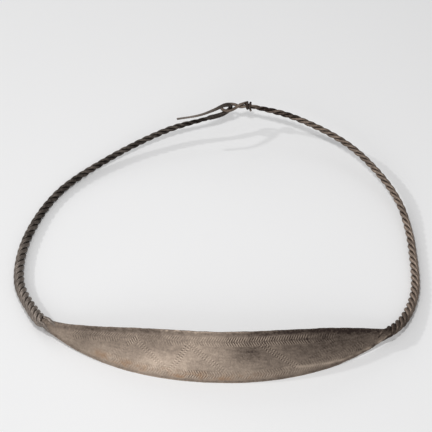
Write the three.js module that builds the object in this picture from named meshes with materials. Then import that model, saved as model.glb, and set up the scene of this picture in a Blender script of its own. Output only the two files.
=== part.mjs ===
// A silver torc, or neck ring: a hammered crescent plate in front, an arm of three twisted wires
// on each side, and a hook-and-eye clasp at the back. It lies flat, as it does when it is loose.
//
// Millimetres. The origin is under the middle of the ring, on the surface that it lies on.
// +X is to the right, +Y runs from the plate to the clasp, and +Z is up.
import * as THREE from 'three';

const { degToRad, lerp, smoothstep } = THREE.MathUtils;
const UP = new THREE.Vector3(0, 0, 1);
const point = (x, y, z) => new THREE.Vector3(x, y, z);

// ---------------------------------------------------------------- driving dimensions

// The crescent plate. Its middle line is an arc in plan, and the sheet leans back as it rises.
const PLATE_ARC = 149; // radius of the middle line
const PLATE_FRONT = point(4, -66, 0); // where the middle line comes furthest forward
const PLATE_LEAN = degToRad(50); // slope of the sheet
const PLATE_WIDTH = 21.6; // at the middle
const PLATE_SHEET = 1.1; // thickness
const PLATE_CROWN = 1.1; // how far the sheet swells outwards
const PLATE_REST = 0.4; // share of each half whose lower edge lies on the surface
const PLATE_WEAR = 0.4; // depth worn off the lower edge there
const PLATE_STATIONS = 36;
// Each half narrows to a round neck. A higher first figure keeps an edge full for longer, and a
// higher second one brings it down to the neck in a hollow curve.
const LEFT_TIP = { side: -1, reach: 75.5, upper: [3, 1.7], lower: [3.3, 1], neck: 1.95, lift: 2 };
const RIGHT_TIP = { side: 1, reach: 65.5, upper: [3.3, 1], lower: [2.5, 1], neck: 1.9, lift: 2.3 };

// The arms: wires twisted together, the left arm's turning one way and the right arm's the other.
const WIRES = 3;
const WIRE_ANGLE = (2 * Math.PI) / WIRES;
const WIRE_SIDES = 6;
const STEPS_PER_TURN = 7;
const WIRE_GAP = 0.3; // between neighbouring wires, and between them and the plate's necks
const STEP_ANGLE = (2 * Math.PI) / STEPS_PER_TURN;
const STRAIGHT_FOOT = 1.4; // how far the wires leave the neck straight before the twist begins
const PITCH_AT_PLATE = 7.8;
const PITCH_AT_CLASP = 11.4;
// Arm radii at the plate and at the clasp. A higher thinning brings it down sooner.
const LEFT_ARM = { turn: 1, thick: 2.8, thin: 1.35, thinning: 2.1 };
const RIGHT_ARM = { turn: -1, thick: 2.35, thin: 1.35, thinning: 2.2 };
const END_THINS = [0.9, 1]; // shares of the arm between which it thins once more, for the clasp
const ARM_END = 0.72; // share of the thickness that is left there

// The centre lines of the two arms, from just past the necks to the clasp.
const LEFT_COURSE = [
  point(-77.5, -37.7, 2.9),
  point(-83.8, -23, 2.2),
  point(-82.5, 0, 1.9),
  point(-70.2, 27.2, 1.7),
  point(-48.5, 46.5, 3.1),
  point(-22.2, 60.8, 6.6),
  point(-5.5, 65.4, 8.8),
];
const RIGHT_COURSE = [
  point(77.1, -43.6, 3.2),
  point(83.1, -28, 2.1),
  point(83.4, -4, 2.3),
  point(82.2, 7.5, 2.9),
  point(79.2, 19.6, 4.3),
  point(71.9, 33.6, 6.2),
  point(57.3, 50.8, 8.4),
  point(33.5, 65, 10.7),
  point(13.2, 71.3, 11.5),
];

// The hook: the left arm's end goes on as a plain bar, up through the eye and back as a free tail.
const HOOK_COURSE = [
  point(-3.5, 66, 9.0),
  point(2.5, 68.1, 9.3),
  point(5.3, 69.7, 10.4),
  point(5.9, 70, 11.8),
  point(5.3, 69.6, 13.4),
  point(3.2, 68.6, 14.3),
  point(-2, 65, 14.8),
  point(-8, 62.1, 14.8),
  point(-18.2, 60.3, 14.2),
];
const HOOK_BAR = 1.1; // radius of the bar
const HOOK_TIP = 0.45;
const HOOK_SWELL = 0.06; // share of the hook over which the wire swells to the bar
const HOOK_THINS = [0.1, 0.9]; // shares between which the bar thins to the tip
const HOOK_STEPS = 34;

// The eye: the right arm's end makes a long loop, crosses itself and is coiled round the arm.
const EYE_WIRE = 0.68; // radius
const EYE_STEPS = 22;
const EYE_COURSE = [
  point(10.2, 70.9, 10.9),
  point(7.8, 71.7, 11.5),
  point(5, 71.8, 11.7),
  point(2.6, 71.2, 11.6),
  point(1.7, 69.8, 11.5),
  point(2.9, 68.3, 11.4),
  point(5.2, 68, 11.4),
  point(7.8, 69.2, 11.7),
  point(10.2, 70.9, 12.3),
];
const COIL_WIRE = 0.5; // radius of the coiled end
const COIL_START = degToRad(130); // from the arm's front, over its top
const COIL_TURN = degToRad(510);
const COIL_LENGTH = 2.0; // along the arm
const COIL_STEPS = 16;
const STUB = 1.2; // length of the cut end that stands off the coil

// ---------------------------------------------------------------- solids

// A closed solid through rings that all have the same number of points, with flat ends.
function loft(rings) {
  const sides = rings[0].length;
  const last = (rings.length - 1) * sides;
  const faces = [];
  for (let ring = 0; ring < last; ring += sides) {
    for (let i = 0; i < sides; i += 1) {
      const j = (i + 1) % sides;
      faces.push(ring + i, ring + j, ring + sides + i);
      faces.push(ring + j, ring + sides + j, ring + sides + i);
    }
  }
  for (let i = 1; i < sides - 1; i += 1) {
    faces.push(0, i + 1, i);
    faces.push(last, last + i, last + i + 1);
  }
  const geometry = new THREE.BufferGeometry();
  geometry.setFromPoints(rings.flat());
  geometry.setIndex(faces);
  return geometry;
}

// What lies on the surface is worn flat there: nothing reaches below it.
const wornFlat = (p) => p.setZ(Math.max(p.z, 0));

// A round wire along a path, with its own radius at each point of the path.
function wire(path, radii) {
  const rings = [];
  let side = null;
  path.forEach((centre, i) => {
    const before = path[Math.max(i - 1, 0)];
    const after = path[Math.min(i + 1, path.length - 1)];
    const along = after.clone().sub(before).normalize();
    side = (side ?? UP.clone().cross(along)).projectOnPlane(along).normalize();
    const across = along.clone().cross(side);
    rings.push(Array.from({ length: WIRE_SIDES }, (_, k) => {
      const angle = (2 * Math.PI * k) / WIRE_SIDES;
      const rim = centre.clone().addScaledVector(side, radii[i] * Math.cos(angle));
      return wornFlat(rim.addScaledVector(across, radii[i] * Math.sin(angle)));
    }));
  });
  return loft(rings);
}

const silver = (color, roughness) => new THREE.MeshStandardMaterial({ color, roughness, metalness: 1 });

function piece(name, geometry, material) {
  const mesh = new THREE.Mesh(geometry, material);
  mesh.name = name;
  return mesh;
}

// ---------------------------------------------------------------- front plate

// The plate's section at a place along it, given by the distance to the right of its middle.
function plateStation(offset) {
  const tip = offset < 0 ? LEFT_TIP : RIGHT_TIP;
  const angle = Math.asin(offset / PLATE_ARC);
  const share = Math.abs(offset) / tip.reach;
  const neck = smoothstep(share, 0.8, 1);
  const edge = ([full, hollow]) => lerp(tip.neck, PLATE_WIDTH / 2, (1 - share ** full) ** hollow);
  const upper = edge(tip.upper);
  const lower = edge(tip.lower);
  const halfThick = lerp(PLATE_SHEET / 2, tip.neck, neck);
  const rise = Math.max(0, (share - PLATE_REST) / (1 - PLATE_REST)) ** 2;
  const lowerEdge = lerp(-PLATE_WEAR, tip.lift, rise);
  const height = Math.hypot(lower * Math.sin(PLATE_LEAN), halfThick * Math.cos(PLATE_LEAN));
  const outwards = point(Math.sin(angle), -Math.cos(angle), 0);
  const centre = point(offset, PLATE_ARC * (1 - Math.cos(angle)), lowerEdge + height);
  return {
    centre: centre.add(PLATE_FRONT),
    along: point(Math.cos(angle), Math.sin(angle), 0),
    slope: outwards.clone().multiplyScalar(-Math.cos(PLATE_LEAN)).setZ(Math.sin(PLATE_LEAN)),
    normal: outwards.clone().multiplyScalar(Math.sin(PLATE_LEAN)).setZ(Math.cos(PLATE_LEAN)),
    crown: PLATE_CROWN * ((upper + lower) / PLATE_WIDTH) ** 2 * (1 - neck),
    upper,
    lower,
    halfThick,
    neck,
  };
}

// A twelve-sided section: a flat strip in the sheet, a round bar in the necks.
function plateSection(offset) {
  const at = plateStation(offset);
  const stripWidth = [1, 0.62, 0.21];
  const stripThickness = [0.6, 1, 1];
  return Array.from({ length: 12 }, (_, k) => {
    const angle = (Math.PI * (2 * k + 1)) / 12;
    const row = Math.min(k % 6, 5 - (k % 6));
    const strip = [
      Math.sign(Math.cos(angle)) * stripWidth[row],
      Math.sign(Math.sin(angle)) * stripThickness[row],
    ];
    const across = lerp(strip[0], Math.cos(angle), at.neck);
    const out = lerp(strip[1], Math.sin(angle), at.neck);
    const reach = across > 0 ? at.upper : at.lower;
    const rim = at.centre.clone().addScaledVector(at.slope, reach * across);
    rim.addScaledVector(at.normal, at.halfThick * out + at.crown * (1 - across ** 2));
    return wornFlat(rim);
  });
}

function frontPlate() {
  const sections = [];
  for (let i = 0; i <= PLATE_STATIONS; i += 1) {
    sections.push(plateSection(lerp(-LEFT_TIP.reach, RIGHT_TIP.reach, i / PLATE_STATIONS)));
  }
  return piece('front_plate', loft(sections), silver(0x8f857b, 0.45));
}

// ---------------------------------------------------------------- twisted arms

// An arm's centre line: it leaves the plate's neck straight, with a gap, and runs to the clasp.
function armCourse(tip, course) {
  const neck = plateStation(tip.side * tip.reach);
  const start = neck.centre.clone().addScaledVector(neck.along, tip.side * WIRE_GAP);
  const foot = start.clone().addScaledVector(neck.along, tip.side * STRAIGHT_FOOT);
  return new THREE.CatmullRomCurve3([start, foot, ...course]);
}

// The frame of an arm at a share of its length: across it to its left, and up.
function armFrame(curve, share) {
  const along = curve.getTangentAt(share);
  const across = UP.clone().cross(along).normalize();
  return { centre: curve.getPointAt(share), across, up: along.clone().cross(across) };
}

// The length of arm in which the wires go once round, which soon grows from the plate.
const pitchAt = (share) => lerp(PITCH_AT_CLASP, PITCH_AT_PLATE, (1 - share) ** 3);

// How near two neighbouring wires come to each other, centre to centre. A point of one is closest
// to a point a little further along the other, because both run on a slant.
function nearest(orbit, pitch) {
  let distance = Infinity;
  for (let lag = 0; lag < WIRE_ANGLE; lag += WIRE_ANGLE / 24) {
    const chord = 2 * orbit * Math.sin((WIRE_ANGLE - lag) / 2);
    distance = Math.min(distance, Math.hypot(chord, (pitch * lag) / (2 * Math.PI)));
  }
  return distance;
}

// The thickest wire that makes up an arm of this radius, and the radius that its centre runs on.
function wireIn(arm, share) {
  const end = lerp(1, ARM_END, smoothstep(share, ...END_THINS));
  const outer = end * lerp(arm.thin, arm.thick, (1 - share) ** arm.thinning);
  let radius = outer / 2;
  for (let round = 0; round < 8; round += 1) {
    radius = (radius + (nearest(outer - radius, pitchAt(share)) - WIRE_GAP) / 2) / 2;
  }
  return { radius, orbit: outer - radius };
}

// The paths of an arm's wires, each a helix that ends at the clasp in its own place round the arm.
function twistedWires(arm, curve, endAngle) {
  const length = curve.getLength();
  const steps = [];
  for (let left = length, angle = endAngle; left > STRAIGHT_FOOT; angle -= arm.turn * STEP_ANGLE) {
    steps.unshift({ share: left / length, angle });
    left -= pitchAt(left / length) / STEPS_PER_TURN;
  }
  steps.unshift({ share: 0, angle: steps[0].angle });
  return Array.from({ length: WIRES }, (_, k) => {
    const path = [];
    const radii = [];
    for (const { share, angle } of steps) {
      const { centre, across, up } = armFrame(curve, share);
      const { radius, orbit } = wireIn(arm, share);
      const around = angle + WIRE_ANGLE * k;
      centre.addScaledVector(across, orbit * Math.cos(around));
      path.push(centre.addScaledVector(up, orbit * Math.sin(around)));
      radii.push(radius);
    }
    return { path, radii };
  });
}

// Points and radii along a course that carries a wire on from where its twist ends.
function carryOn(twisted, course, count, radiusAt) {
  const curve = new THREE.CatmullRomCurve3([twisted.path.at(-1), ...course]);
  for (let i = 1; i <= count; i += 1) {
    twisted.path.push(curve.getPointAt(i / count));
    twisted.radii.push(radiusAt(i / count));
  }
}

function leftArm() {
  const curve = armCourse(LEFT_TIP, LEFT_COURSE);
  const wires = twistedWires(LEFT_ARM, curve, degToRad(90));
  const thin = wires[0].radii.at(-1);
  carryOn(wires[0], HOOK_COURSE, HOOK_STEPS, (share) => {
    const swollen = lerp(thin, HOOK_BAR, smoothstep(share, 0, HOOK_SWELL));
    return lerp(swollen, HOOK_TIP, smoothstep(share, ...HOOK_THINS));
  });
  const names = ['left_wire_with_hook', 'left_wire_2', 'left_wire_3'];
  return names.map((name, k) => piece(name, wire(wires[k].path, wires[k].radii), silver(0x5d554f, 0.5)));
}

// The coil round the right arm's end, and the stub that it is cut off at.
function coil(curve) {
  const path = [];
  const length = curve.getLength();
  for (let i = 0; i <= COIL_STEPS; i += 1) {
    const share = 1 - (COIL_LENGTH * i) / COIL_STEPS / length;
    const { centre, across, up } = armFrame(curve, share);
    const radius = RIGHT_ARM.thin * ARM_END + WIRE_GAP / 2 + COIL_WIRE;
    const angle = COIL_START - (COIL_TURN * i) / COIL_STEPS;
    centre.addScaledVector(across, radius * Math.cos(angle));
    path.push(centre.addScaledVector(up, radius * Math.sin(angle)));
  }
  const end = path.at(-1).clone().sub(path.at(-2)).setLength(STUB);
  path.push(path.at(-1).clone().add(end));
  return path;
}

function rightArm() {
  const curve = armCourse(RIGHT_TIP, RIGHT_COURSE);
  const wires = twistedWires(RIGHT_ARM, curve, degToRad(0));
  carryOn(wires[0], EYE_COURSE, EYE_STEPS, () => EYE_WIRE);
  for (const turn of coil(curve)) {
    wires[0].path.push(turn);
    wires[0].radii.push(COIL_WIRE);
  }
  const names = ['right_wire_with_eye', 'right_wire_2', 'right_wire_3'];
  return names.map((name, k) => piece(name, wire(wires[k].path, wires[k].radii), silver(0x7d726a, 0.45)));
}

const torc = new THREE.Group();
torc.add(frontPlate(), ...leftArm(), ...rightArm());

export default torc;
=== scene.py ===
import math

import bpy
import numpy as np
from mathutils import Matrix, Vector, noise


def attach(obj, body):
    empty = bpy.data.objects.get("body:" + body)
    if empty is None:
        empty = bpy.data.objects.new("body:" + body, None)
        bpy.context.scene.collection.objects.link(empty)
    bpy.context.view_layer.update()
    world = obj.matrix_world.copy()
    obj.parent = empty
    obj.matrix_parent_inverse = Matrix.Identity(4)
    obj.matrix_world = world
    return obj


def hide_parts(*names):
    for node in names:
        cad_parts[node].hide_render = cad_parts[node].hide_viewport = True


# A silver torc that lies on a pale table: a punched crescent plate, an arm of three twisted wires
# on each side, and a hook-and-eye clasp. The sections follow it from the plate to the clasp.
# Sizes are in millimetres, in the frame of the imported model. Only the table and the lights are in
# metres.
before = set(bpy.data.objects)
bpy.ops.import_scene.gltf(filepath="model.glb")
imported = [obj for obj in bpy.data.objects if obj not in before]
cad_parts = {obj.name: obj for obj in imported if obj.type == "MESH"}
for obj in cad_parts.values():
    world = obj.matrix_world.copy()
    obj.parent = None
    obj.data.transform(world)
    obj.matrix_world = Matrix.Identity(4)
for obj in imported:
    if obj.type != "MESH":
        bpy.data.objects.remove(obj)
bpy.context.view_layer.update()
bpy.ops.object.select_all(action="DESELECT")


# ---------------------------------------------------------------- the camera
# It looks down at the ring from the front, half-way up. It stands well off and has a long lens, so
# the ring shows with little perspective.
MM = 0.001
CAMERA_TARGET = (-0.65, 16, 0)
CAMERA_DISTANCE = 900
CAMERA_ELEVATION = 50
CAMERA_FIELD = 11.95

elevation = math.radians(CAMERA_ELEVATION)
away = Vector((0, -math.cos(elevation), math.sin(elevation)))
camera_place = Vector(CAMERA_TARGET) + CAMERA_DISTANCE * away
bpy.ops.object.camera_add(location=camera_place * MM, rotation=(math.pi / 2 - elevation, 0, 0))
camera = bpy.context.object
camera.data.angle = math.radians(CAMERA_FIELD)
camera.data.clip_start = 0.05
bpy.context.scene.camera = camera
bpy.context.scene.view_settings.view_transform = "Standard"


# ---------------------------------------------------------------- the front plate
# A crescent of silver, hammered out of one bar and left thick at its two necks, which go on as cores
# inside the arms. Its face has a punched herringbone border along each edge and a zigzag band
# between them. It leans back on its lower edge, which is worn flat where it rests.
PLATE_ARC = 149  # radius of the curve of its middle line, from above
PLATE_FRONT = np.array([4.0, -66.0, 0.0])
PLATE_LEAN = math.radians(50)
PLATE_WIDTH = 21.6
PLATE_SHEET = 1.1
PLATE_CROWN = 1.1
PLATE_REST = 0.4  # share of each half that lies on the table
PLATE_WEAR = 0.4
EDGE_THINS = 0.4  # share of its thickness that the sheet loses towards its edges
EDGE_FROM = 0.62
NECK_FROM = 0.8

# Each half has a reach, two powers for its upper outline and two for its lower one, the radius of its
# neck, and how far its end is lifted off the table.
LEFT_TIP = {"side": -1, "reach": 75.5, "upper": (3, 1.7), "lower": (3.3, 1), "neck": 1.95, "lift": 2.0}
RIGHT_TIP = {"side": 1, "reach": 65.5, "upper": (3.3, 1), "lower": (2.5, 1), "neck": 1.9, "lift": 2.3}

# The mesh is fine enough to carry the punched strokes.
PLATE_STEP = 0.24
FACE_POINTS = 92
BACK_POINTS = 24
EDGE_POINTS = 7
FLAT_SHARE = 0.97
MERGE_WITHIN = 0.0005
SMOOTH_UNDER = math.radians(50)

# The cores in the necks, and the arms' courses, which the cores follow.
CORE_REACH = 5
CORE_END = 0.7
CORE_STEP = 0.25
STRAIGHT_FOOT = 1.4
FIRST_BEND = 0.3
COURSE_STEPS = 60
LEFT_COURSE = [
    (-77.5, -37.7, 2.9),
    (-83.8, -23, 2.2),
    (-82.5, 0, 1.9),
    (-70.2, 27.2, 1.7),
    (-48.5, 46.5, 3.1),
    (-22.2, 60.8, 6.6),
    (-5.5, 65.4, 8.8),
]
RIGHT_COURSE = [
    (77.1, -43.6, 3.2),
    (83.1, -28, 2.1),
    (83.4, -4, 2.3),
    (82.2, 7.5, 2.9),
    (79.2, 19.6, 4.3),
    (71.9, 33.6, 6.2),
    (57.3, 50.8, 8.4),
    (33.5, 65, 10.7),
    (13.2, 71.3, 11.5),
]


def lerp(a, b, t):
    return a + (b - a) * t


def smoothstep(x, low, high):
    t = np.clip((x - low) / (high - low), 0, 1)
    return t * t * (3 - 2 * t)


def unit(vectors):
    return vectors / np.linalg.norm(vectors, axis=-1, keepdims=True)


def plate_station(offset):
    """The middle, directions and half sizes of the plate's section, by the distance from its middle."""
    tip = LEFT_TIP if offset < 0 else RIGHT_TIP
    angle = math.asin(offset / PLATE_ARC)
    share = abs(offset) / tip["reach"]
    neck = smoothstep(share, NECK_FROM, 1)
    half = {}
    for side in ("upper", "lower"):
        full, hollow = tip[side]
        half[side] = lerp(tip["neck"], PLATE_WIDTH / 2, (1 - min(share, 1) ** full) ** hollow)
    thick = lerp(PLATE_SHEET / 2, tip["neck"], neck)
    rise = max(0, (share - PLATE_REST) / (1 - PLATE_REST)) ** 2
    lower_edge = lerp(-PLATE_WEAR, tip["lift"], rise)
    height = math.hypot(half["lower"] * math.sin(PLATE_LEAN), thick * math.cos(PLATE_LEAN))
    outwards = np.array([math.sin(angle), -math.cos(angle), 0])
    up = np.array([0, 0, 1.0])
    return {
        "centre": PLATE_FRONT + [offset, PLATE_ARC * (1 - math.cos(angle)), lower_edge + height],
        "along": np.array([math.cos(angle), math.sin(angle), 0]),
        "slope": up * math.sin(PLATE_LEAN) - outwards * math.cos(PLATE_LEAN),
        "normal": up * math.cos(PLATE_LEAN) + outwards * math.sin(PLATE_LEAN),
        "crown": PLATE_CROWN * ((half["upper"] + half["lower"]) / PLATE_WIDTH) ** 2 * (1 - neck),
        "upper": half["upper"],
        "lower": half["lower"],
        "thick": thick,
        "neck": neck,
        "length": PLATE_ARC * angle,
    }


def smooth_course(points):
    """A dense line through the points: a centripetal Catmull-Rom curve, and the distance along it."""
    points = [np.array(p, float) for p in points]
    points = [2 * points[0] - points[1]] + points + [2 * points[-1] - points[-2]]
    line = []
    for p0, p1, p2, p3 in zip(points, points[1:], points[2:], points[3:]):
        d0, d1, d2 = (math.sqrt(np.linalg.norm(b - a)) for a, b in ((p0, p1), (p1, p2), (p2, p3)))
        t1 = ((p1 - p0) / d0 - (p2 - p0) / (d0 + d1) + (p2 - p1) / d1) * d1
        t2 = ((p2 - p1) / d1 - (p3 - p1) / (d1 + d2) + (p3 - p2) / d2) * d1
        square = 3 * (p2 - p1) - 2 * t1 - t2
        cube = 2 * (p1 - p2) + t1 + t2
        for t in np.linspace(0, 1, COURSE_STEPS, endpoint=False):
            line.append(p1 + t1 * t + square * t**2 + cube * t**3)
    line.append(points[-2])
    line = np.array(line)
    steps = np.linalg.norm(np.diff(line, axis=0), axis=1)
    return line, np.concatenate([[0], np.cumsum(steps)])


def on_course(course, distance):
    """The points of a course at distances along it."""
    line, lengths = course
    return np.stack([np.interp(distance, lengths, line[:, axis]) for axis in range(3)], -1)


def arm_course(tip, course):
    """The middle line of an arm: it leaves the neck straight, and then bends into its course."""
    neck = plate_station(tip["side"] * tip["reach"])
    foot = [neck["centre"] + neck["along"] * tip["side"] * gap for gap in (0, STRAIGHT_FOOT + FIRST_BEND)]
    return smooth_course(foot + course)


def plate_outline():
    """The points round the plate's section: (across, out) on the sheet, with across from -1 to 1."""
    face = np.linspace(-FLAT_SHARE, FLAT_SHARE, FACE_POINTS)
    back = np.linspace(FLAT_SHARE, -FLAT_SHARE, BACK_POINTS)
    bend = np.linspace(math.pi / 2, -math.pi / 2, EDGE_POINTS + 2)[1:-1]
    upper = np.stack([FLAT_SHARE + (1 - FLAT_SHARE) * np.cos(bend), np.sin(bend)], 1)
    front_face = np.stack([face, np.ones_like(face)], 1)
    back_face = np.stack([back, -np.ones_like(back)], 1)
    return np.concatenate([front_face, upper, back_face, upper[::-1] * [-1, 1]])


def bar_outline(outline):
    """How far out each of those points lies on a round bar of radius 1."""
    across, out = outline.T
    return np.copysign(np.sqrt(np.maximum(0, 1 - across * across)), out)


def rolled(name, rings, **marks):
    """A closed solid: a grid with a row for each ring, rolled up, merged at its seam and filled.

    Each mark is a number for every point of the rings, which the material reads by its name."""
    rows, columns = rings.shape[:2]
    bpy.ops.mesh.primitive_grid_add(x_subdivisions=columns, y_subdivisions=rows - 1, size=1)
    solid = bpy.context.object
    solid.name = name
    closed = np.concatenate([rings, rings[:, :1]], axis=1) * MM
    solid.data.vertices.foreach_set("co", closed.ravel())
    for mark, values in marks.items():
        layer = solid.data.attributes.new(mark, "FLOAT", "POINT")
        layer.data.foreach_set("value", np.concatenate([values, values[:, :1]], axis=1).ravel())
    bpy.ops.object.mode_set(mode="EDIT")
    bpy.ops.mesh.select_all(action="SELECT")
    bpy.ops.mesh.remove_doubles(threshold=MERGE_WITHIN * MM)
    bpy.ops.mesh.select_all(action="DESELECT")
    bpy.ops.mesh.select_non_manifold()
    bpy.ops.mesh.fill_holes(sides=0)
    bpy.ops.mesh.select_all(action="SELECT")
    bpy.ops.mesh.normals_make_consistent(inside=False)
    bpy.ops.object.mode_set(mode="OBJECT")
    bpy.ops.object.shade_smooth_by_angle(angle=SMOOTH_UNDER)
    return solid


def mottle(points, size, seed=0):
    """Smooth noise between -1 and 1 at each point, in patches of a size, always the same."""
    shift = Vector((seed * 17.3, seed * 9.1, 0))
    flat = points.reshape(-1, 3) / size
    return np.array([noise.noise(Vector(p) + shift) for p in flat]).reshape(points.shape[:-1])


# The ornament, as short punched strokes: (place along, place across, direction, length, how clear).
# Each stretch of a border is (from, to, how clear). Each turn of the zigzag is (along, across, how
# clear the leg after it is). The bright row is (from, to, spacing), and its stroke (direction,
# length, how clear).
STROKE = 1.6
STROKE_SPACING = 1.05
STROKE_ROWS = 1.8
STROKE_SLANT = math.radians(32)
STROKE_WIDTH = 0.16
STROKE_DEPTH = 0.13
BURR = 0.05
BURR_BESIDE = 0.34
UPPER_INSET = 3.2
UPPER_BORDER = [(-65, -40, 0.35), (-40, -25, 0.15), (-25, 0, 0.4), (0, 34, 0.9), (34, 46, 0.3)]
LOWER_INSET = 2.7
LOWER_BORDER = [(-47, -22, 0.3), (-22, -15, 0.5), (-15, -7, 0.9), (-7, 25, 0.45), (25, 57, 0.3)]
ZIGZAG = [
    (-50.7, -7.2, 0.25),
    (-38.4, 4.6, 0.5),
    (-23.1, -7.2, 1),
    (-16, 5.4, 0.55),
    (-0.5, -5.9, 0.15),
    (13.5, 5.8, 0.95),
    (28.7, -5.6, 0.3),
    (44.9, 2, 0),
]
ZIGZAG_WIDTH = 1.4
DOT = 0.55
BRIGHT_ROW = (-41.5, -38.2, 0.65)
BRIGHT_TOP = 4.9
BRIGHT_CLIMB = 0.95
BRIGHT_STROKE = (math.radians(-52), 1.5, 1.6)


def border(edge, stretches, first):
    """Two rows of slanted strokes with opposite slants, at their distances in from an edge."""
    strokes = []
    for low, high, clear in stretches:
        for place in np.arange(low, high, STROKE_SPACING):
            station = plate_station(PLATE_ARC * math.sin(place / PLATE_ARC))
            for row, slant in enumerate((STROKE_SLANT, -STROKE_SLANT)):
                inset = first + row * STROKE_ROWS
                across = station["upper"] - inset if edge == "upper" else inset - station["lower"]
                strokes.append((place, across, math.pi / 2 - slant, STROKE, clear))
    return strokes


def zigzag():
    """A band of two rows of dots that runs up and down between the borders."""
    strokes = []
    for (x0, y0, clear), (x1, y1, _) in zip(ZIGZAG, ZIGZAG[1:]):
        direction = math.atan2(y1 - y0, x1 - x0)
        count = int(math.hypot(x1 - x0, y1 - y0) / STROKE_SPACING)
        for share in (np.arange(count) + 0.5) / count:
            for side in (-ZIGZAG_WIDTH / 2, ZIGZAG_WIDTH / 2):
                dot_x = lerp(x0, x1, share) - side * math.sin(direction)
                dot_y = lerp(y0, y1, share) + side * math.cos(direction)
                strokes.append((dot_x, dot_y, direction + math.pi / 2, DOT, clear))
    return strokes


def bright_strokes():
    """A few sharper strokes in a row that climbs to the top of the zigzag's first leg."""
    first, last, spacing = BRIGHT_ROW
    places = np.arange(first, last, spacing)
    return [(place, BRIGHT_TOP + (place - last) * BRIGHT_CLIMB, *BRIGHT_STROKE) for place in places]


# The face and the back as a grid of points, with each point's place on the sheet in millimetres. The
# back counts as 3 mm further in, so that its marks aren't those of the face.
half_span = [math.floor(tip["reach"] / PLATE_STEP) for tip in (LEFT_TIP, RIGHT_TIP)]
offsets = np.concatenate([
    np.linspace(-LEFT_TIP["reach"], 0, half_span[0])[:-1],
    np.linspace(0, RIGHT_TIP["reach"], half_span[1]),
])
stations = [plate_station(offset) for offset in offsets]
outline = plate_outline()
is_face = np.arange(len(outline)) < FACE_POINTS
upper_half = np.array([station["upper"] for station in stations])[:, None]
lower_half = np.array([station["lower"] for station in stations])[:, None]
necks = np.array([station["neck"] for station in stations])[:, None]
along = np.array([station["length"] for station in stations])[:, None] + 0 * outline[:, 0]
across = outline[:, 0] * np.where(outline[:, 0] > 0, upper_half, lower_half)
behind = np.where(is_face, 0, 3.0) + 0 * along
sheet_place = np.stack([along, across, behind], -1)
from_upper = upper_half - across
from_lower = lower_half + across

# Punched strokes, worn away in patches, each with a raised burr along one side that is rubbed bright, with
# a painted highlight on it.
recess = np.zeros_like(along)
burr = np.zeros_like(along)
strokes = border("upper", UPPER_BORDER, UPPER_INSET) + border("lower", LOWER_BORDER, LOWER_INSET)
for place, height, direction, length, clear in strokes + zigzag() + bright_strokes():
    first, last = np.searchsorted(along[:, 0], [place - STROKE, place + STROKE])
    x = along[first:last, :FACE_POINTS] - place
    y = across[first:last, :FACE_POINTS] - height
    run = np.clip(x * math.cos(direction) + y * math.sin(direction), -length / 2, length / 2)
    beyond_x = x - run * math.cos(direction)
    beyond_y = y - run * math.sin(direction)
    for marks, shift in ((recess, 0), (burr, BURR_BESIDE)):
        distance = np.hypot(beyond_x + shift * math.sin(direction), beyond_y - shift * math.cos(direction))
        block = marks[first:last, :FACE_POINTS]
        np.maximum(block, clear * np.exp(-(distance / STROKE_WIDTH) ** 2), out=block)
wear = smoothstep(mottle(sheet_place, 7, 3) + 0.6 * mottle(sheet_place, 2.5, 4), -1.1, 0.1)
recess *= wear
burr *= wear

# Broad hammer marks with smaller ones among them, and long and short nicks that eat into the edges.
hammered = 0.07 * mottle(sheet_place, 6, 5) + 0.025 * mottle(sheet_place, 2, 6)
nicks = 0.16 * mottle(sheet_place * [1, 0, 0], 5, 7) + 0.09 * mottle(sheet_place * [1, 0, 0], 1.3, 8)
near_edge = smoothstep(np.abs(outline[:, 0]), 0.86, 1) * (1 - necks)

# The rings of the mesh, from the left neck to the right one: a thin sheet that turns into a round bar.
rings = np.zeros((len(stations), len(outline), 3))
width_share, out = outline.T
thins = EDGE_THINS * np.maximum(0, (np.abs(width_share) - EDGE_FROM) / (1 - EDGE_FROM))
punched = BURR * burr - STROKE_DEPTH * recess
for ring, station, dents, swell, nick, side in zip(rings, stations, punched, hammered, nicks, near_edge):
    sheet = station["thick"] * out * (1 - thins)
    bar = station["thick"] * bar_outline(outline)
    half = np.where(width_share > 0, station["upper"], station["lower"])
    rise = lerp(sheet, bar, station["neck"]) + station["crown"] * (1 - width_share**2)
    rise += (swell * (1 - station["neck"]) + dents) * is_face
    reach = half * width_share + nick * side * np.sign(width_share)
    ring[:] = station["centre"] + reach[:, None] * station["slope"] + rise[:, None] * station["normal"]
rings[:, :, 2] = np.maximum(rings[:, :, 2], 0)

# The tarnish and painted shade are 0 where the silver is rubbed and 1 where it is darkest. The tarnish lies
# in blotches and in fine streaks along the sheet, fills the strokes, follows both edges, and has a dark
# spot right of the middle. Painted shade darkens the upper part and the right end, and a painted reflection
# lightens the lower left and a spot left of the middle.
blotches = 0.10 * mottle(sheet_place, 9, 1) + 0.08 * mottle(sheet_place, 2.4, 2)
streaks = 0.09 * mottle(sheet_place * [0.2, 1, 1], 0.8, 12) + 0.05 * mottle(sheet_place, 0.7, 13)
edges = 0.2 * np.exp(-((from_upper - 1.0) / 1.1) ** 2) + 0.22 * np.exp(-((from_lower - 0.8) / 0.7) ** 2)
painted_shade_upper_left = smoothstep(-along, 0, 35) * smoothstep(across, -9, 6)
painted_shade_upper_middle = smoothstep(across, 1, 8) * smoothstep(along, -12, 2) * smoothstep(-along, -32, -16)
painted_shade_upper_right = smoothstep(along, -12, 40) * smoothstep(across, -9, 5)
painted_shade_right_end = smoothstep(along, -5, 50)
painted_reflection_lower_left = smoothstep(-along, 5, 30) * smoothstep(-across, -2, 7)
dark_spot = np.exp(-((along - 10) / 7) ** 2 - ((across - 1.5) / 4) ** 2)
painted_reflection_spot = np.exp(-((along + 26) / 8) ** 2 - ((across + 2) / 4) ** 2)
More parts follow.
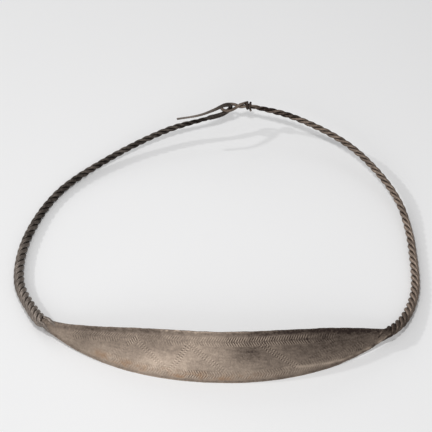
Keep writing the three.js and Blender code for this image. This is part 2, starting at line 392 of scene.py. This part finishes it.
# The base tarnish, blotches, streaks and edges; the punched hollows hold tarnish, and the burrs beside them
# get a painted highlight.
tarnish = 0.36 + blotches + streaks + edges + 0.55 * recess - 0.6 * burr
# Painted shade over the upper part, heaviest on the right, and over the right end.
tarnish += 0.2 * painted_shade_upper_left + 0.12 * painted_shade_upper_middle + 0.3 * painted_shade_upper_right + 0.16 * painted_shade_right_end
# A dark spot of tarnish, and a painted reflection that lightens a spot left of the middle and the lower
# left.
tarnish += 0.28 * dark_spot - 0.18 * painted_reflection_spot - 0.12 * painted_reflection_lower_left

# It is rubbed off along the upper edge left of the middle, and in a streak that runs down across the
# lower border towards the right end.
rubbed_edge = smoothstep(mottle(sheet_place, 1.6, 9), 0, 0.5) * smoothstep(-from_upper, -1.3, -0.2)
rubbed_edge *= smoothstep(along, -32, -26) * smoothstep(-along, 8, 14)
from_streak = from_lower - np.interp(along, [25, 48, 60], [5.0, 1.3, 0.9])
rubbed_streak = smoothstep(along, 20, 30) * np.exp(-((from_streak / 0.55) ** 2))
rubbed_streak *= smoothstep(mottle(sheet_place, 3, 14), -0.5, 0.3)
tarnish -= 0.5 * rubbed_edge + 0.55 * rubbed_streak

# Copper out of the alloy shows in spots, in the left and middle part of the lower border.
copper = smoothstep(0.7 * mottle(sheet_place, 1.6, 10) + mottle(sheet_place, 6, 11), -0.5, 1)
copper *= 0.7 * smoothstep(-from_lower, -6, -3) * smoothstep(from_lower, 1, 2)
copper *= smoothstep(along, -62, -48) * smoothstep(-along, -30, 15)

# Each neck goes on as a thinning core between the three wires.
left_course = arm_course(LEFT_TIP, LEFT_COURSE)
right_course = arm_course(RIGHT_TIP, RIGHT_COURSE)
cores = []
for tip, course in ((LEFT_TIP, left_course), (RIGHT_TIP, right_course)):
    neck = plate_station(tip["side"] * tip["reach"])
    core = []
    for distance in np.arange(CORE_STEP, CORE_REACH, CORE_STEP):
        centre = on_course(course, distance)
        ahead = unit(on_course(course, distance + 0.3) - centre)
        slope = unit(neck["slope"] - ahead * (neck["slope"] @ ahead))
        normal = unit(neck["normal"] - ahead * (neck["normal"] @ ahead) - slope * (neck["normal"] @ slope))
        radius = lerp(tip["neck"], CORE_END, smoothstep(distance, 0, CORE_REACH))
        round_core = outline[:, :1] * slope + bar_outline(outline)[:, None] * normal
        core.append(centre + radius * round_core)
    cores.append(core[:: tip["side"]])
rings = np.concatenate([cores[0], rings, cores[1]])
ends = ((len(cores[0]), len(cores[1])), (0, 0))
tarnish = np.pad(np.clip(tarnish, 0, 1), ends, mode="edge")
front_plate = rolled("front_plate_sheet", rings, tarnish=tarnish, copper=np.pad(copper, ends))

# Fine patches of tarnish and pits in the silver, drawn coarser than they are, so that they show.
COPPER = "#a5805f"
PATCHES_PER_MM = 1.1
PATCH_STRENGTH = 0.17
PITS_PER_MM = 2.2
PIT_DEPTH = 0.12
RUBBED_ROUGHNESS = 0.42
TARNISH_ROUGHENS = 0.2


def linear(colour):
    """An sRGB hex colour as the linear values that a node takes."""
    channels = [int(colour[i:i + 2], 16) / 255 for i in (1, 3, 5)]
    return [c / 12.92 if c <= 0.04045 else ((c + 0.055) / 1.055) ** 2.4 for c in channels] + [1]


def add(tree, kind, inputs, **settings):
    """Adds a node with its settings. Each input is a value, or the output that it is linked to."""
    node = tree.nodes.new("ShaderNode" + kind)
    for name, value in settings.items():
        setattr(node, name, value)
    for name, value in inputs.items():
        if isinstance(value, bpy.types.NodeSocket):
            tree.links.new(value, node.inputs[name])
        else:
            node.inputs[name].default_value = value
    return node


def tarnished_silver(name, pale, dark, grain):
    """Silver with a soft sheen, pale where it is rubbed, and dark and duller where tarnish gathers or shade
    is painted.

    It reads the tarnish and painted shade and the copper that are stored on the mesh, and keeps a metal's
    own IOR."""
    material = bpy.data.materials.new(name)
    material.use_nodes = True
    tree = material.node_tree
    place = add(tree, "TexCoord", {}).outputs["Object"]

    # The stored tarnish and painted shade, broken up by fine patches.
    patches = {"Vector": place, "Scale": PATCHES_PER_MM / MM, "Detail": 5, "Roughness": 0.7}
    cloud = add(tree, "TexNoise", patches).outputs["Fac"]
    shift = {"Value": cloud, "From Min": 0.25, "From Max": 0.75}
    shift.update({"To Min": -PATCH_STRENGTH, "To Max": PATCH_STRENGTH})
    uneven = add(tree, "MapRange", shift).outputs["Result"]
    stored = add(tree, "Attribute", {}, attribute_name="tarnish").outputs["Fac"]
    tarnish = add(tree, "Math", {0: stored, 1: uneven}, operation="ADD", use_clamp=True).outputs[0]

    # Colour and roughness follow it, and copper shows through the colour.
    shades = {"Factor": tarnish, 6: linear(pale), 7: linear(dark)}
    silver = add(tree, "Mix", shades, data_type="RGBA").outputs[2]
    copper = add(tree, "Attribute", {}, attribute_name="copper").outputs["Fac"]
    shades = {"Factor": copper, 6: silver, 7: linear(COPPER)}
    colour = add(tree, "Mix", shades, data_type="RGBA").outputs[2]
    rougher = {"Value": tarnish, "To Min": RUBBED_ROUGHNESS, "To Max": RUBBED_ROUGHNESS + TARNISH_ROUGHENS}
    roughness = add(tree, "MapRange", rougher).outputs["Result"]

    # Fine pits.
    pits = {"Vector": place, "Scale": PITS_PER_MM / MM, "Detail": 4, "Roughness": 0.6}
    pitted = add(tree, "TexNoise", pits).outputs["Fac"]
    relief = {"Height": pitted, "Strength": grain, "Distance": PIT_DEPTH * MM}
    normal = add(tree, "Bump", relief).outputs["Normal"]

    shader = tree.nodes["Principled BSDF"]
    shader.inputs["Metallic"].default_value = 1
    tree.links.new(colour, shader.inputs["Base Color"])
    tree.links.new(roughness, shader.inputs["Roughness"])
    tree.links.new(normal, shader.inputs["Normal"])
    return material


# Hammered silver: a warm, uneven grey with a satin sheen, which catches the light on its crown.
plate_silver = tarnished_silver("hammered_silver", "#c6b4a3", "#3f3531", 0.6)
front_plate.data.materials.append(plate_silver)
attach(front_plate, "root")
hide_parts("front_plate")


# ---------------------------------------------------------------- the left arm and its hook
# Three tapering silver wires, drawn and twisted together, with their ends hammered down onto the
# plate's left neck. Past the twist two of them are forged into the third, which goes on as a plain
# bar, up through the eye and back as a long free tail.
WIRES = 3
WIRE_ANGLE = 2 * math.pi / WIRES
WIRE_SIDES = 16
STEPS_PER_TURN = 24
FINE_STEP = 0.4
PITCH_AT_PLATE = 7.8
PITCH_AT_CLASP = 11.4

# The way the arm turns, its radius at the plate and at the clasp, and the power by which it thins.
# Over the last tenth it is drawn down once more.
LEFT_ARM = {"turn": 1, "thick": 2.8, "thin": 1.35, "thinning": 2.1}
ARM_END = 0.72
END_THINS = (0.9, 1)

# Where the wires' ends lie on the neck.
FOOT_REACH = 7
FOOT_TURN = math.radians(130)
FOOT_STEPS = 24
FOOT_END = 0.55
FOOT_SINKS = 1.15

# The hook swells and thins by shares of its length. The other two wires run on into it and end.
HOOK_COURSE = [
    (-3.5, 66, 9.0),
    (2.5, 68.1, 9.3),
    (5.3, 69.7, 10.4),
    (5.9, 70, 11.8),
    (5.3, 69.6, 13.4),
    (3.2, 68.6, 14.3),
    (-2, 65, 14.8),
    (-8, 62.1, 14.8),
    (-18.2, 60.3, 14.2),
]
HOOK_BAR = 1.1
HOOK_TIP = 0.45
HOOK_SWELL = (0, 0.06)
HOOK_THINS = (0.1, 0.9)
HOOK_WELD = 5
WELD_THINS = 0.7

# Dents in a wire, as shares of its radius, and how dark the painted shade is where wires meet.
SHORT_DENTS = 0.035
LONG_DENTS = 0.03
GAP_SHADE = 0.45


def arm_frame(course, distance):
    """The middle of an arm at distances along it, and the directions across it and up.

    They are taken over a millimetre of its length."""
    ahead = unit(on_course(course, distance + 0.5) - on_course(course, distance - 0.5))
    side = unit(np.cross([0, 0, 1.0], ahead))
    return on_course(course, distance), side, np.cross(ahead, side)


def nearest(orbit, pitch):
    """How near two neighbouring wires come to each other, centre to centre."""
    lag = np.linspace(0, WIRE_ANGLE, 25)
    return np.hypot(2 * orbit * np.sin((WIRE_ANGLE - lag) / 2), pitch * lag / (2 * math.pi)).min()


def wire_in(arm, share, pitch):
    """The radius of the wires that touch at this share of an arm, and the radius they run on.

    Each depends on the other, so a few rounds close in on the pair."""
    outer = lerp(arm["thin"], arm["thick"], (1 - share) ** arm["thinning"])
    outer *= lerp(1, ARM_END, smoothstep(share, *END_THINS))
    radius = outer / 2
    for _ in range(8):
        radius = (radius + nearest(outer - radius, pitch) / 2) / 2
    return radius, outer - radius


def twisted_wires(arm, course, end_angle):
    """The arm's wires, stepped back from the clasp and then turned round to run from the neck.

    Each has its path, its radii, the arm's middle beside each point, and how deep it lies in the
    twist: 1 in it, 0 where the wire is free."""
    length = course[1][-1]
    left = length
    angle = end_angle
    steps = []
    while left > STRAIGHT_FOOT:
        pitch = lerp(PITCH_AT_CLASP, PITCH_AT_PLATE, (1 - left / length) ** 3)
        steps.append((left, angle, *wire_in(arm, left / length, pitch)))
        left -= pitch / STEPS_PER_TURN
        angle -= arm["turn"] * 2 * math.pi / STEPS_PER_TURN
    steps.append((STRAIGHT_FOOT / 2, *steps[-1][1:]))
    steps.append((0, *steps[-1][1:]))
    distance, angles, radii, orbits = np.array(steps[::-1]).T
    centre, side, up = arm_frame(course, distance)
    wires = []
    for k in range(WIRES):
        around = (angles + k * WIRE_ANGLE)[:, None]
        path = centre + orbits[:, None] * (side * np.cos(around) + up * np.sin(around))
        wires.append({"path": path, "radii": radii, "middle": centre, "depth": np.ones(len(path))})
    return wires


def lengthen(wire_line, at_start=False, **more):
    """Adds points to the end of a wire, or to its start."""
    for part, values in more.items():
        pieces = (values, wire_line[part]) if at_start else (wire_line[part], values)
        wire_line[part] = np.concatenate(pieces)


def plate_foot(tip, wire_line):
    """Carries a wire back round the plate's neck, onto which it is hammered down until it sinks in."""
    neck = plate_station(tip["side"] * tip["reach"])
    apart = wire_line["path"][0] - neck["centre"]
    start_angle = math.atan2(apart @ neck["normal"], apart @ neck["slope"])
    start_radius = wire_line["radii"][0]
    stands_off = np.linalg.norm(apart) - tip["neck"]
    share = np.linspace(1, 0, FOOT_STEPS, endpoint=False)
    path, radii, middle = [], [], []
    for t in share:
        station = plate_station(tip["side"] * (tip["reach"] - FOOT_REACH * t))
        angle = start_angle + FOOT_TURN * t
        half = station["upper"] if math.cos(angle) > 0 else station["lower"]
        radius = start_radius * lerp(1, FOOT_END, t)
        sunk = lerp(stands_off, -radius * FOOT_SINKS, smoothstep(t, 0, 1))
        across = (half + sunk) * math.cos(angle)
        out = (station["thick"] + sunk) * math.sin(angle) + station["crown"] * math.sin(angle) ** 2
        path.append(station["centre"] + across * station["slope"] + out * station["normal"])
        radii.append(radius)
        middle.append(station["centre"])
    lengthen(wire_line, at_start=True, path=path, radii=radii, middle=middle, depth=1 - share)


def carry_on(wire_line, course, radius_at):
    """Carries a wire on along a course from where its twist ends."""
    more = smooth_course([wire_line["path"][-1]] + course)
    distance = np.arange(FINE_STEP, more[1][-1], FINE_STEP)
    path = on_course(more, distance)
    lengthen(wire_line, path=path, radii=radius_at(distance / more[1][-1]), middle=path, depth=0 * distance)


def weld(wire_line, course, reach):
    """Tapers a wire into the bar that the arm ends in, where it is forged down."""
    line = smooth_course(course)
    distance = np.arange(FINE_STEP, reach, FINE_STEP)
    share = distance / reach
    middle = on_course(line, distance)
    apart = wire_line["path"][-1] - line[0][0]
    path = middle + apart * (1 - smoothstep(share, 0, 1))[:, None]
    radii = wire_line["radii"][-1] * (1 - WELD_THINS * share)
    lengthen(wire_line, path=path, radii=radii, middle=middle, depth=np.ones(len(path)))


def hook_radius(share):
    """The hook's bar swells where the wires are forged together, and thins to its tail's tip."""
    swollen = lerp(left_wires[0]["radii"][-1], HOOK_BAR, smoothstep(share, *HOOK_SWELL))
    return lerp(swollen, HOOK_TIP, smoothstep(share, *HOOK_THINS))


def wire(name, wire_line, shade):
    """A round wire along its path, uneven as hammered wire is, with painted shade where wires meet.

    The shade is how dark its tarnish is, by the share of the wire's length and by whether the wire is
    free of the twist there."""
    path, radii = wire_line["path"], wire_line["radii"]
    ahead = unit(np.gradient(path, axis=0))
    side = np.zeros_like(path)
    last = np.array([0, 0, 1.0])
    for i, direction in enumerate(ahead):
        last = unit(last - direction * (last @ direction))
        side[i] = last
    other = np.cross(ahead, side)
    around = np.linspace(0, 2 * math.pi, WIRE_SIDES, endpoint=False)
    out = side[:, None] * np.cos(around)[:, None] + other[:, None] * np.sin(around)[:, None]
    round_wire = path[:, None] + radii[:, None, None] * out
    uneven = SHORT_DENTS * mottle(round_wire, 1.6, 20) + LONG_DENTS * mottle(round_wire, 4, 21)
    rings = path[:, None] + (radii[:, None] * (1 + uneven))[..., None] * out
    rings[:, :, 2] = np.maximum(rings[:, :, 2], 0)

    # Each point's place along the wire, and whether it faces the middle of the twist, where shade between
    # the wires is painted on.
    outwards = unit(path - wire_line["middle"] + 1e-6)
    facing = (out * outwards[:, None]).sum(-1)
    inside = smoothstep(-facing, -0.25, 0.5) * wire_line["depth"][:, None]
    length = np.concatenate([[0], np.cumsum(np.linalg.norm(np.diff(path, axis=0), axis=1))])
    tarnish = shade(length / length[-1], 1 - wire_line["depth"])[:, None] + GAP_SHADE * inside
    tarnish += 0.2 * mottle(round_wire, 6, 22) + 0.16 * mottle(round_wire, 1.2, 23)
    return rolled(name, rings, tarnish=np.clip(tarnish, 0, 1))


def left_shade(share, free):
    """Pale beside the plate, dark towards the clasp, and rubbed on the hook's tail."""
    return lerp(lerp(0.3, 0.82, smoothstep(share, 0.12, 0.5)), 0.5, free * smoothstep(share, 0.88, 0.95))


left_wires = twisted_wires(LEFT_ARM, left_course, math.radians(90))
carry_on(left_wires[0], HOOK_COURSE, hook_radius)
for line in left_wires[1:]:
    weld(line, [left_course[0][-1]] + HOOK_COURSE, HOOK_WELD)
for line in left_wires:
    plate_foot(LEFT_TIP, line)

# Drawn silver, twisted and blackened: grey-black, with painted shade that is almost black between the wires
# and leaves their backs a paler grey.
left_silver = tarnished_silver("dark_drawn_silver", "#978c83", "#342f2c", 0.5)
for node, line in zip(("left_wire_with_hook", "left_wire_2", "left_wire_3"), left_wires):
    piece = wire(node + "_silver", line, left_shade)
    piece.data.materials.append(left_silver)
    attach(piece, "root")
    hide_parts(node)


# ---------------------------------------------------------------- the right arm and its eye
# Three more silver wires, twisted the other way and hammered down onto the right neck. The longest
# one goes on past the twist into a long loop, crosses itself, and is coiled round the arm's end and
# cut off. The hook hangs in that loop.
RIGHT_ARM = {"turn": -1, "thick": 2.35, "thin": 1.35, "thinning": 2.2}
EYE_WIRE = 0.68
EYE_COURSE = [
    (10.2, 70.9, 10.9),
    (7.8, 71.7, 11.5),
    (5, 71.8, 11.7),
    (2.6, 71.2, 11.6),
    (1.7, 69.8, 11.5),
    (2.9, 68.3, 11.4),
    (5.2, 68, 11.4),
    (7.8, 69.2, 11.7),
    (10.2, 70.9, 12.3),
]
EYE_WELD = 2
COIL_WIRE = 0.5
COIL_START = math.radians(130)
COIL_TURN = math.radians(510)
COIL_LENGTH = 2.0
COIL_STEPS = 64
STUB = 1.2


def eye_radius(share):
    """The eye's wire is of one thickness all the way."""
    return np.full_like(share, EYE_WIRE)


def coil(wire_line):
    """Winds the eye's end back round the arm, and cuts it off at a stub that stands away."""
    share = np.linspace(0, 1, COIL_STEPS)
    centre, side, up = arm_frame(right_course, right_course[1][-1] - COIL_LENGTH * share)
    angle = (COIL_START - COIL_TURN * share)[:, None]
    turns = centre + (RIGHT_ARM["thin"] * ARM_END + COIL_WIRE) * (side * np.cos(angle) + up * np.sin(angle))
    end = turns[-1] + unit(turns[-1] - turns[-2]) * STUB
    radii = np.full(COIL_STEPS, COIL_WIRE)
    lengthen(wire_line, path=turns, radii=radii, middle=centre, depth=np.ones(COIL_STEPS))
    lengthen(wire_line, path=[end], radii=[COIL_WIRE], middle=[end], depth=[0])


def right_shade(share, free):
    """Dark at the plate and in the coil at the clasp, paler between."""
    along_arm = lerp(lerp(0.85, 0.42, smoothstep(share, 0.04, 0.25)), 0.58, smoothstep(share, 0.5, 0.75))
    return lerp(along_arm, 0.9, (1 - free) * smoothstep(share, 0.84, 0.86))


right_wires = twisted_wires(RIGHT_ARM, right_course, 0)
carry_on(right_wires[0], EYE_COURSE, eye_radius)
coil(right_wires[0])
for line in right_wires[1:]:
    weld(line, [right_course[0][-1]] + EYE_COURSE, EYE_WELD)
for line in right_wires:
    plate_foot(RIGHT_TIP, line)

# Drawn silver that is rubbed more than the left arm: paler and browner, with the same painted shade between
# the wires.
right_silver = tarnished_silver("brown_drawn_silver", "#ab9a8c", "#332a26", 0.5)
for node, line in zip(("right_wire_with_eye", "right_wire_2", "right_wire_3"), right_wires):
    piece = wire(node + "_silver", line, right_shade)
    piece.data.materials.append(right_silver)
    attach(piece, "root")
    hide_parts(node)


# ---------------------------------------------------------------- the table and the light
# A pale table top. A small hard light from the left and a small near one almost overhead throw the
# ring's two shadows. A broad weak one behind it on the left and a large card in front fill in and
# give the silver its sheen, and the pale room does the rest.
TABLE_SIZE = 6
ROOM_LIGHT = 0.47

bpy.ops.mesh.primitive_plane_add(size=TABLE_SIZE)
table = bpy.context.object
table.name = "table_top"

# Laminate with a satin surface: an even white that shows only a faint, blurred reflection.
table_white = bpy.data.materials.new("satin_white_laminate")
table_white.use_nodes = True
top = table_white.node_tree.nodes["Principled BSDF"]
top.inputs["Base Color"].default_value = linear("#f2f2f2")
top.inputs["Roughness"].default_value = 0.3
table.data.materials.append(table_white)


def light(name, direction, distance, size, power):
    """A square light that faces the ring from a direction: metres away, metres across, and watts."""
    place = Vector(direction).normalized() * distance
    bpy.ops.object.light_add(type="AREA", location=place)
    lamp = bpy.context.object
    lamp.name = name
    lamp.rotation_euler = place.to_track_quat("Z", "Y").to_euler()
    lamp.data.size = size
    lamp.data.energy = power


light("hard_light", (-1.5, 0.475, 1), 1.5, 0.05, 5)
light("near_light", (-0.05, -0.28, 1), 0.44, 0.045, 0.6)
light("low_light", (-1.2, 2, 1), 1.5, 0.6, 3)
light("front_card", (-0.3, -0.85, 0.42), 1.8, 0.8, 5.6)
world = bpy.data.worlds.new("room")
world.use_nodes = True
world.node_tree.nodes["Background"].inputs["Color"].default_value = linear("#f6f6f7")
world.node_tree.nodes["Background"].inputs["Strength"].default_value = ROOM_LIGHT
bpy.context.scene.world = world
